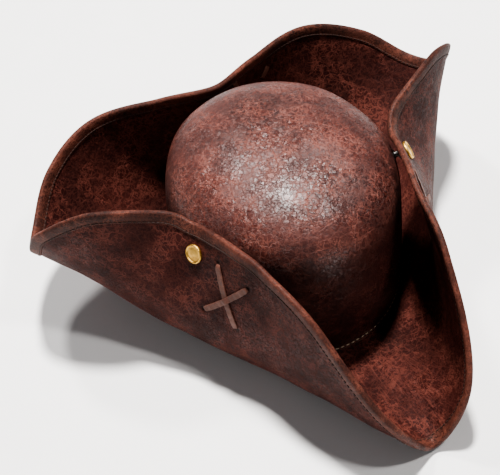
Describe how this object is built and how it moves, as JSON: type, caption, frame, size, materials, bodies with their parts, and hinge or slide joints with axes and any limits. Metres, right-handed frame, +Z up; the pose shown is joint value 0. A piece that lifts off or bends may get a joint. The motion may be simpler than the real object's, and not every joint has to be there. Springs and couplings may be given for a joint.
{
  "type": "three-cornered hat",
  "caption": "Three-cornered leather hat with a round crown and a wired brim whose sides fold up and press-stud to the crown.",
  "frame": {"origin": "centre of the head opening, in the plane of the seam where the crown meets the brim", "axes": "+Z up through the crown, the hat's front faces -Y, the wearer's left is +X"},
  "size_m": [0.3874, 0.3538, 0.1561],
  "materials": {
    "leather": "distressed",
    "binding_leather": "worn",
    "lace_leather": "satin",
    "lining_cloth": "woven",
    "brass": "brushed",
    "steel": "satin"
  },
  "bodies": {
    "root": {"crown_shell": "leather", "crown_lining": "lining_cloth", "sweatband": "binding_leather", "seam_tape": "binding_leather", "brim_base": "leather", "binding_corners": "binding_leather", "edge_wire_corners": "steel", "snap_stud_right": "steel", "snap_post_right": "brass", "snap_stud_left": "steel", "snap_post_left": "brass", "snap_stud_back": "steel", "snap_post_back": "brass"},
    "flap_right": {"flap_right": "leather", "binding_right": "binding_leather", "edge_wire_right": "steel", "snap_cap_right": "brass", "snap_socket_right": "steel", "lace_over_right": "lace_leather", "lace_under_right": "lace_leather"},
    "flap_left": {"flap_left": "leather", "binding_left": "binding_leather", "edge_wire_left": "steel", "snap_cap_left": "brass", "snap_socket_left": "steel", "lace_over_left": "lace_leather", "lace_under_left": "lace_leather"},
    "flap_back": {"flap_back": "leather", "binding_back": "binding_leather", "edge_wire_back": "steel", "snap_cap_back": "brass", "snap_socket_back": "steel", "lace_over_back": "lace_leather", "lace_under_back": "lace_leather"}
  },
  "joints": [
    {"name": "right_flap_fold", "type": "hinge", "parent": "root", "child": "flap_right", "pos_m": [-0.1058, -0.08371, 0.03641], "axis": [0.5542, -0.8002, -0.2292], "range_deg": [0, 80]},
    {"name": "left_flap_fold", "type": "hinge", "parent": "root", "child": "flap_left", "pos_m": [0.1058, -0.08371, 0.03641], "axis": [0.5542, 0.8002, 0.2292], "range_deg": [0, 80]},
    {"name": "back_flap_fold", "type": "hinge", "parent": "root", "child": "flap_back", "pos_m": [0, 0.13226, 0.0255], "axis": [-1, 0, 0], "range_deg": [0, 80]}
  ]
}
